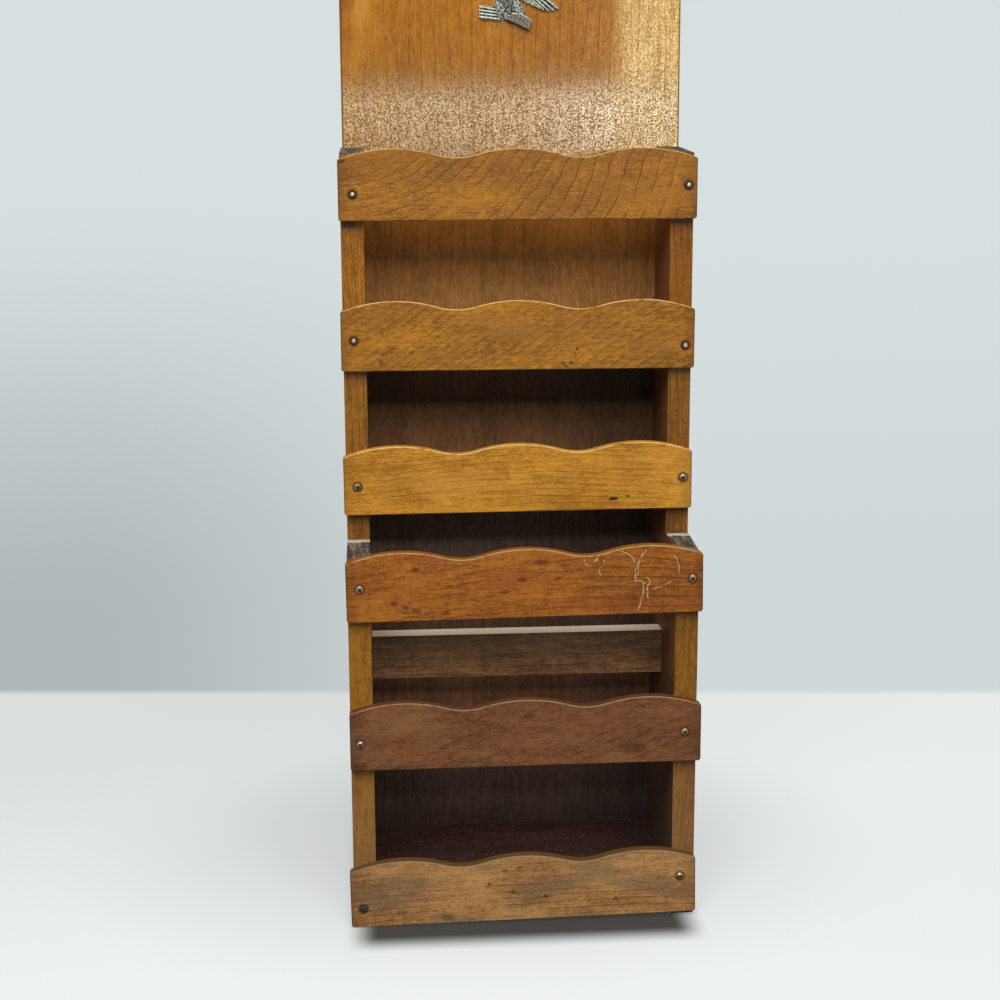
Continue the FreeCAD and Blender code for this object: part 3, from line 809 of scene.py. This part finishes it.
def eagle_finish():
    """Grey-green cast metal, black in its recesses, with a painted highlight on its ridges."""
    finish = Finish("cast_eagle_metal")
    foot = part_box("eagle_ornament")[0].z
    mottle = finish.noise((600.0, 600.0, 600.0), detail=3.0, roughness=0.6)
    ridge = finish.node("ShaderNodeNewGeometry", output="Pointiness")
    colour = finish.blend(mottle.between(0.38, 0.66), *CAST_METAL)
    bent = finish.x + 1.5 * MM + (mottle - 0.5) * (1.5 * MM)
    chevron = ((finish.z - abs(bent) * 1.1) / (2.1 * MM) + (mottle - 0.5) * 2.0).part()
    body = finish.x.between_mm(*EAGLE_LEFT) * (1.0 - finish.x.between_mm(*EAGLE_RIGHT))
    body = body * finish.z.between(*(foot + rise * MM for rise in EAGLE_RISE))
    cut = chevron.between(0.0, 0.25) * (1.0 - chevron.between(0.25, 0.5)) * body
    tilted = finish.z + finish.x * 0.25
    over = tilted.between(*(foot + rise * MM for rise in PERCH_TOP))
    perch = finish.x.between_mm(*PERCH_X) * (1.0 - over)
    colour = finish.blend(perch * 0.85, colour, CAST_PERCH)
    colour = finish.blend((1.0 - ridge.between(0.470, 0.499)).most(cut * 0.9), colour, CAST_RECESS)
    # Painted highlight on the ridges, weaker on the perch
    bright = ridge.between(0.500, 0.520) * (0.95 - perch * 0.6)
    colour = finish.blend(bright, colour, CAST_RIDGE_HIGHLIGHT)
    finish.relief(mottle * 0.5 - cut * 2.0, 0.6, 0.2 * MM)
    finish.set(Metallic=0.20, Specular_IOR_Level=0.3)
    return finish.set(Base_Color=colour, Roughness=0.40 + mottle * 0.2)


def deselect():
    if bpy.context.object and bpy.context.object.mode != "OBJECT":
        bpy.ops.object.mode_set(mode="OBJECT")
    bpy.ops.object.select_all(action="DESELECT")


def pick(piece):
    """Makes one object the only one selected."""
    deselect()
    piece.select_set(True)
    bpy.context.view_layer.objects.active = piece


def apply_modifier(piece, kind, **settings):
    """Adds one modifier to a piece and applies it."""
    pick(piece)
    made = piece.modifiers.new(kind.lower(), kind)
    for name, value in settings.items():
        setattr(made, name, value)
    bpy.ops.object.modifier_apply(modifier=made.name)


def copy_of(node, name):
    """A new piece that starts from a CAD node's own shape, with its loose faces joined."""
    piece = bpy.data.objects.new(name, NODES[node].data.copy())
    bpy.context.scene.collection.objects.link(piece)
    pick(piece)
    bpy.ops.object.mode_set(mode="EDIT")
    bpy.ops.mesh.select_all(action="SELECT")
    bpy.ops.mesh.remove_doubles(threshold=0.002 * MM)
    bpy.ops.object.mode_set(mode="OBJECT")
    return piece


class LETTER_HOLDER_PG_looks(bpy.types.PropertyGroup):
    """Colours and wear of the boards."""

    back_pale: bpy.props.FloatVectorProperty(
        name="Back board pale", description="Pale colour of the upper back board", subtype="COLOR",
        default=(0.46, 0.185, 0.016), min=0.0, max=1.0)
    back_deep: bpy.props.FloatVectorProperty(
        name="Back board deep", description="Deep colour of the upper back board", subtype="COLOR",
        default=(0.30, 0.105, 0.009), min=0.0, max=1.0)
    side_pale: bpy.props.FloatVectorProperty(
        name="Sides pale", description="Pale colour of the sides", subtype="COLOR",
        default=(0.32, 0.132, 0.012), min=0.0, max=1.0)
    side_deep: bpy.props.FloatVectorProperty(
        name="Sides deep", description="Deep colour of the sides", subtype="COLOR",
        default=(0.15, 0.052, 0.005), min=0.0, max=1.0)
    # Wear also sets the strength of the painted highlight along the slats' upper edges
    wear: bpy.props.FloatProperty(
        name="Edge wear", description="How much of the slats' upper edges is rubbed bare",
        subtype="FACTOR", default=1.0, min=0.0, max=1.0)


class LETTER_HOLDER_PG_stage(bpy.types.PropertyGroup):
    """The camera, the lamps and the colours behind the object."""

    camera_place: bpy.props.FloatVectorProperty(
        name="Camera place", description="Where the camera stands", subtype="TRANSLATION", unit="LENGTH",
        default=(-0.07698, -0.96419, 0.43251))
    camera_yaw: bpy.props.FloatProperty(
        name="Camera yaw", description="Turn to the right", subtype="ANGLE", default=math.radians(3.978))
    camera_pitch: bpy.props.FloatProperty(
        name="Camera pitch", description="Turn downwards", subtype="ANGLE", default=math.radians(11.482))
    camera_roll: bpy.props.FloatProperty(
        name="Camera roll", description="Turn about the line of sight", subtype="ANGLE",
        default=math.radians(-0.259))
    wall_colour: bpy.props.FloatVectorProperty(
        name="Backdrop", description="Colour behind the object", subtype="COLOR",
        default=(0.68, 0.735, 0.74), min=0.0, max=1.0)
    floor_colour: bpy.props.FloatVectorProperty(
        name="Floor", description="Colour of the floor", subtype="COLOR",
        default=(0.93, 0.97, 0.96), min=0.0, max=1.0)
    overhead_watts: bpy.props.FloatProperty(
        name="Overhead lamp", description="Power of the broad lamp above the front", subtype="POWER",
        default=42.0, min=0.0)
    small_watts: bpy.props.FloatProperty(
        name="Small lamp", description="Power of the small lamp that draws the slats' shadows",
        subtype="POWER", default=18.0, min=0.0)
    strip_watts: bpy.props.FloatProperty(
        name="Strip lamps", description="Power of the low strip lamps that the back board mirrors",
        subtype="POWER", default=12.5, min=0.0)
    room_light: bpy.props.FloatProperty(
        name="Room light", description="Strength of the light from all round",
        default=0.035, min=0.0, max=2.0)


class LETTER_HOLDER_OT_finish_slats(bpy.types.Operator):
    """Give each front slat its own varnish, grain, marks, and worn edges with a painted highlight"""

    bl_idname = "letter_holder.finish_slats"
    bl_label = "Finish the front slats"

    def execute(self, context):
        for number, node in enumerate(SLATS):
            dress(node, slat_finish(number, context.scene.letter_holder_looks))
        return {"FINISHED"}


class LETTER_HOLDER_OT_finish_back_board(bpy.types.Operator):
    """Give the back board its golden varnish and orange-peel gloss"""

    bl_idname = "letter_holder.finish_back_board"
    bl_label = "Finish the back board"

    def execute(self, context):
        dress("back_board", back_finish(context.scene.letter_holder_looks))
        return {"FINISHED"}


class LETTER_HOLDER_OT_finish_sides(bpy.types.Operator):
    """Give the stepped sides their amber varnish and dusty end grain"""

    bl_idname = "letter_holder.finish_sides"
    bl_label = "Finish the sides"

    def execute(self, context):
        looks = context.scene.letter_holder_looks
        for node, share, tint, seed in zip(SIDES, SIDE_SHARES, SIDE_TINTS, SIDE_SEEDS):
            dress(node, side_finish(node, share, tint, seed, looks))
        return {"FINISHED"}


class LETTER_HOLDER_OT_finish_inner_boards(bpy.types.Operator):
    """Give the shelves, the bottom board and the rail their stain and dust"""

    bl_idname = "letter_holder.finish_inner_boards"
    bl_label = "Finish the shelves and the rail"

    def execute(self, context):
        material = shelf_finish()
        for node in SHELVES:
            dress(node, material)
        dress("divider_rail", rail_finish())
        return {"FINISHED"}


class LETTER_HOLDER_OT_finish_metal(bpy.types.Operator):
    """Give the pins and nails their metal"""

    bl_idname = "letter_holder.finish_metal"
    bl_label = "Finish the pins and nails"

    def execute(self, context):
        brass = pin_finish()
        steel = nail_finish("nail_steel", *NAIL_STEEL)
        dark_steel = nail_finish("ornament_pin_steel", *ORNAMENT_STEEL)
        dress("slat_pins", brass)
        dress("ornament_pins", dark_steel)
        for node in ("shelf_brads", "bottom_brads", "rail_brads", "back_nails"):
            dress(node, steel)
        return {"FINISHED"}


class LETTER_HOLDER_OT_model_eagle(bpy.types.Operator):
    """Soften the eagle into a casting and work its feathers"""

    bl_idname = "letter_holder.model_eagle"
    bl_label = "Model the cast eagle"

    def execute(self, context):
        piece = copy_of("eagle_ornament", "cast_eagle")
        apply_modifier(piece, "REMESH", mode="VOXEL", voxel_size=CAST_GRID * MM)
        apply_modifier(piece, "SMOOTH", factor=0.5, iterations=2)
        feathering = bpy.data.textures.new("feathering", "VORONOI")
        feathering.noise_scale = FEATHER_SIZE * MM
        apply_modifier(piece, "DISPLACE", texture=feathering, texture_coords="LOCAL",
                       strength=FEATHER_DEPTH * MM, mid_level=0.45)
        apply_modifier(piece, "SMOOTH", factor=0.4, iterations=1)
        root = WING_ROOT * MM
        for vertex in piece.data.vertices:
            past = max(vertex.co.x - root, 0.0)
            vertex.co.x -= past * (1.0 - WING_REACH)
            vertex.co.z -= past * WING_DROOP
        pick(piece)
        bpy.ops.object.shade_smooth()
        piece.data.materials.clear()
        piece.data.materials.append(eagle_finish())
        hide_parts("eagle_ornament")
        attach(piece, "root")
        return {"FINISHED"}


def aim_frame(stage):
    """The camera's turn as a matrix, from its yaw, pitch and roll."""
    yaw, pitch, roll = stage.camera_yaw, stage.camera_pitch, stage.camera_roll
    ahead = Vector((math.sin(yaw) * math.cos(pitch), math.cos(yaw) * math.cos(pitch), -math.sin(pitch)))
    level = Vector((math.cos(yaw), -math.sin(yaw), 0.0))
    upright = level.cross(ahead)
    right = level * math.cos(roll) + upright * math.sin(roll)
    up = upright * math.cos(roll) - level * math.sin(roll)
    return Matrix((right, up, -ahead)).transposed()


def area_lamp(name, place, width, height, watts):
    """A flat lamp that faces the middle of the object."""
    toward = (Vector(place) - Vector(LAMPS_AIM)).normalized()
    data = bpy.data.lights.new(name, "AREA")
    data.shape = "RECTANGLE"
    data.size = width
    data.size_y = height
    data.energy = watts
    lamp = bpy.data.objects.new(name, data)
    lamp.location = place
    lamp.rotation_euler = (-toward).to_track_quat("-Z", "Y").to_euler()
    bpy.context.scene.collection.objects.link(lamp)
    return lamp


def seen_rays(nodes, links):
    """Is one for the rays of the camera, of reflections and of light through glass."""
    path = nodes.new("ShaderNodeLightPath")
    share = path.outputs["Is Camera Ray"]
    for name in ("Is Glossy Ray", "Is Transmission Ray"):
        most = nodes.new("ShaderNodeMath")
        most.operation = "MAXIMUM"
        links.new(share, most.inputs[0])
        links.new(path.outputs[name], most.inputs[1])
        share = most.outputs[0]
    return share


def floor_finish(stage):
    """Pale floor that turns into the backdrop's colour behind the object, with painted shade and a painted
    contact shadow on the floor and painted shade on the backdrop.
    """
    finish = Finish("pale_floor")
    cloud = finish.noise((3.0, 3.0, 3.0))
    tone = finish.blend(cloud, stage.floor_colour, tuple(c * 0.96 for c in stage.floor_colour))
    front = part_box("front_slat_6")[0].y
    gap = finish.y - front
    # Painted contact shadow on the floor in front of the lowest slat
    foot = gap.between_mm(*CONTACT_SHADOW_GAP) * (1.0 - abs(finish.x).between_mm(*CONTACT_SHADOW_HALF))
    back = finish.y.between(-0.15, 0.25)
    # Painted shade towards the back and the left of the floor
    far_shade = back * 0.03 + (1.0 - finish.x.between(-0.30, 0.20)) * back * 0.22
    tone = finish.blend(far_shade, tone, FLOOR_FAR_SHADE)
    # Painted shade all round the object
    away = finish.distance(finish.x, finish.y, *(c * MM for c in AROUND))
    shade_around = 1.0 - away.between(0.30, 1.20)
    tone = finish.blend(shade_around * 0.20, tone, FLOOR_SHADE_AROUND)
    tone = finish.blend(foot * 0.96, tone, FLOOR_CONTACT_SHADOW)
    finish.set(Base_Color=tone, Roughness=0.8, Specular_IOR_Level=0.1)
    behind = (finish.y + finish.x * WALL_SLOPE).between(WALL_Y - WALL_SOFT, WALL_Y + WALL_SOFT)

    reach = stage.camera_place
    depth = (WALL_Y - reach[1]) / (finish.y - reach[1])
    wall_x = (finish.x - reach[0]) * depth + reach[0]
    wall_z = reach[2] - depth * reach[2]
    # Painted shade on the backdrop, darker low down and to the left
    low = 1.0 - wall_z.between(0.06, 0.40)
    left = 1.0 - wall_x.between(-0.32, 0.06)
    fade = 1.0 - wall_z.between(0.24, 0.42)
    shade = low * left * 0.36 + left * fade * 0.10 + low * 0.12
    wall = finish.blend(shade, stage.wall_colour, tuple(c * 0.40 for c in stage.wall_colour))
    backdrop = finish.node("ShaderNodeEmission", {}, {"Color": wall, "Strength": 1.0})
    near = finish.node("ShaderNodeEmission", {}, {"Color": tone, "Strength": 1.0})
    dim = finish.node("ShaderNodeBsdfDiffuse", {}, {"Color": tuple(c * 0.3 for c in stage.floor_colour)})
    base = Wire(finish, finish.shader.outputs[0])
    pale = finish.node("ShaderNodeMixShader", {}, (back * 0.10 + 0.66, base, near))
    shown = finish.node("ShaderNodeMixShader", {}, (behind, pale, backdrop))
    seen = Wire(finish, seen_rays(finish.tree.nodes, finish.tree.links))
    mixed = finish.node("ShaderNodeMixShader", {}, (seen, dim, shown))
    finish.feed(finish.tree.nodes["Material Output"].inputs["Surface"], mixed)
    return finish.material


def make_world(stage):
    world = bpy.data.worlds.new("soft_room")
    world.use_nodes = True
    nodes, links = world.node_tree.nodes, world.node_tree.links
    room = nodes["Background"]
    room.inputs["Color"].default_value = (*ROOM_COLOUR, 1.0)
    room.inputs["Strength"].default_value = stage.room_light
    shown = nodes.new("ShaderNodeBackground")
    shown.inputs["Color"].default_value = (*stage.wall_colour, 1.0)
    mix = nodes.new("ShaderNodeMixShader")
    links.new(seen_rays(nodes, links), mix.inputs[0])
    links.new(room.outputs[0], mix.inputs[1])
    links.new(shown.outputs[0], mix.inputs[2])
    links.new(mix.outputs[0], nodes["World Output"].inputs["Surface"])
    bpy.context.scene.world = world


class LETTER_HOLDER_OT_set_stage(bpy.types.Operator):
    """Set the pale floor, the soft lamps and the camera"""

    bl_idname = "letter_holder.set_stage"
    bl_label = "Set the stage"

    def execute(self, context):
        stage = context.scene.letter_holder_stage
        deselect()
        bpy.ops.mesh.primitive_plane_add(size=FLOOR_SIZE, location=(0.0, 0.0, 0.0))
        floor = context.object
        floor.name = "floor"
        floor.data.materials.append(floor_finish(stage))
        area_lamp("overhead_lamp", *OVERHEAD_LAMP, stage.overhead_watts)
        area_lamp("small_lamp", *SMALL_LAMP, stage.small_watts)
        strips = (
            area_lamp("strip_lamp", *STRIP_LAMP, stage.strip_watts),
            area_lamp("right_strip_lamp", *RIGHT_STRIP_LAMP, stage.strip_watts * RIGHT_STRIP_SHARE),
        )
        for strip in strips:
            strip.visible_diffuse = False
            strip.data.color = STRIP_COLOUR
        make_world(stage)
        data = bpy.data.cameras.new("photo_camera")
        data.sensor_width = SENSOR_MM
        data.lens = FOCAL_PIXELS * SENSOR_MM / PHOTO_SIDE
        camera = bpy.data.objects.new("photo_camera", data)
        camera.matrix_world = Matrix.Translation(stage.camera_place) @ aim_frame(stage).to_4x4()
        context.scene.collection.objects.link(camera)
        context.scene.camera = camera
        context.scene.view_settings.view_transform = "Standard"
        return {"FINISHED"}


OPERATORS = (
    LETTER_HOLDER_OT_finish_back_board,
    LETTER_HOLDER_OT_finish_sides,
    LETTER_HOLDER_OT_finish_slats,
    LETTER_HOLDER_OT_finish_inner_boards,
    LETTER_HOLDER_OT_finish_metal,
    LETTER_HOLDER_OT_model_eagle,
    LETTER_HOLDER_OT_set_stage,
)


class LETTER_HOLDER_PT_panel(bpy.types.Panel):
    """Lists the looks, the stage and every step"""

    bl_idname = "LETTER_HOLDER_PT_panel"
    bl_label = "Letter holder"
    bl_space_type = "VIEW_3D"
    bl_region_type = "UI"
    bl_category = "Letter holder"

    def draw(self, context):
        for group in (context.scene.letter_holder_looks, context.scene.letter_holder_stage):
            for name in group.bl_rna.properties.keys():
                if name not in ("rna_type", "name"):
                    self.layout.prop(group, name)
        for operator in OPERATORS:
            self.layout.operator(operator.bl_idname)


CLASSES = (LETTER_HOLDER_PG_looks, LETTER_HOLDER_PG_stage) + OPERATORS + (LETTER_HOLDER_PT_panel,)


def register():
    for cls in CLASSES:
        bpy.utils.register_class(cls)
    bpy.types.Scene.letter_holder_looks = bpy.props.PointerProperty(type=LETTER_HOLDER_PG_looks)
    bpy.types.Scene.letter_holder_stage = bpy.props.PointerProperty(type=LETTER_HOLDER_PG_stage)


def unregister():
    del bpy.types.Scene.letter_holder_stage
    del bpy.types.Scene.letter_holder_looks
    for cls in reversed(CLASSES):
        bpy.utils.unregister_class(cls)


def main():
    """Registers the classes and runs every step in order."""
    register()
    for operator in OPERATORS:
        group, step = operator.bl_idname.split(".")
        getattr(getattr(bpy.ops, group), step)()


if __name__ == "__main__":
    main()
